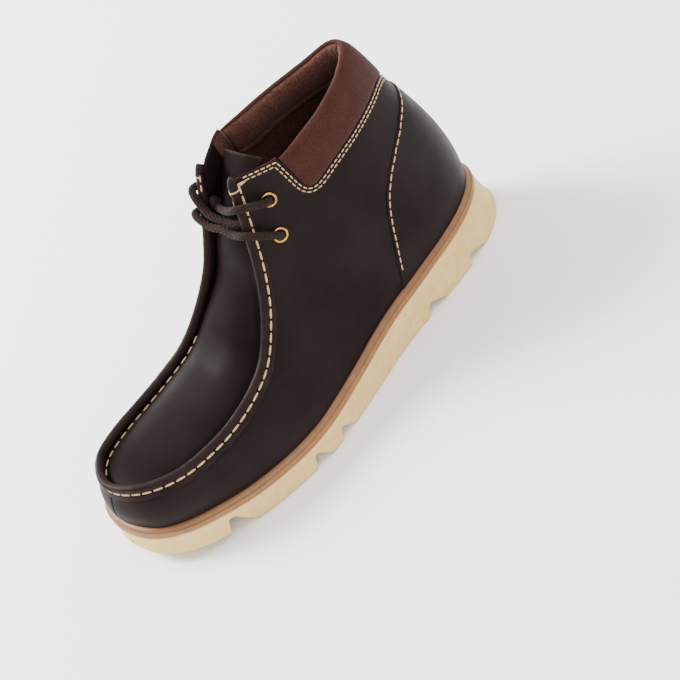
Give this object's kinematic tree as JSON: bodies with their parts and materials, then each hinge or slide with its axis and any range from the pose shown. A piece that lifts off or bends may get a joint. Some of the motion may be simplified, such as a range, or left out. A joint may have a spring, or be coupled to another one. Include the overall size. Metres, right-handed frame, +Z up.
{
  "type": "crepe sole moccasin shoe",
  "caption": "Left ankle boot with a moccasin toe, padded collar, laced throat and crepe wedge sole; hollow and open at the ankle.",
  "frame": {"origin": "on the floor under the middle of the boot's footprint", "axes": "+X to the outer side of this left boot, toe towards -Y and heel towards +Y, +Z up"},
  "size_m": [0.111, 0.3042, 0.1593],
  "materials": {
    "crepe": "matt cream crepe",
    "welt": "smooth tan",
    "insole": "matt dark brown",
    "leather": "waxed dark brown, soft shine",
    "tongue": "waxed dark brown, soft shine",
    "suede": "brown suede",
    "brass": "polished",
    "lace": "waxed round cord"
  },
  "bodies": {
    "root": {"outsole": "crepe", "welt": "welt", "insole": "insole", "upper": "leather", "tongue": "tongue", "collar": "suede", "eyelet_outer_lower": "brass", "eyelet_outer_upper": "brass", "eyelet_inner_lower": "brass", "eyelet_inner_upper": "brass", "lace": "lace"}
  },
  "joints": []
}
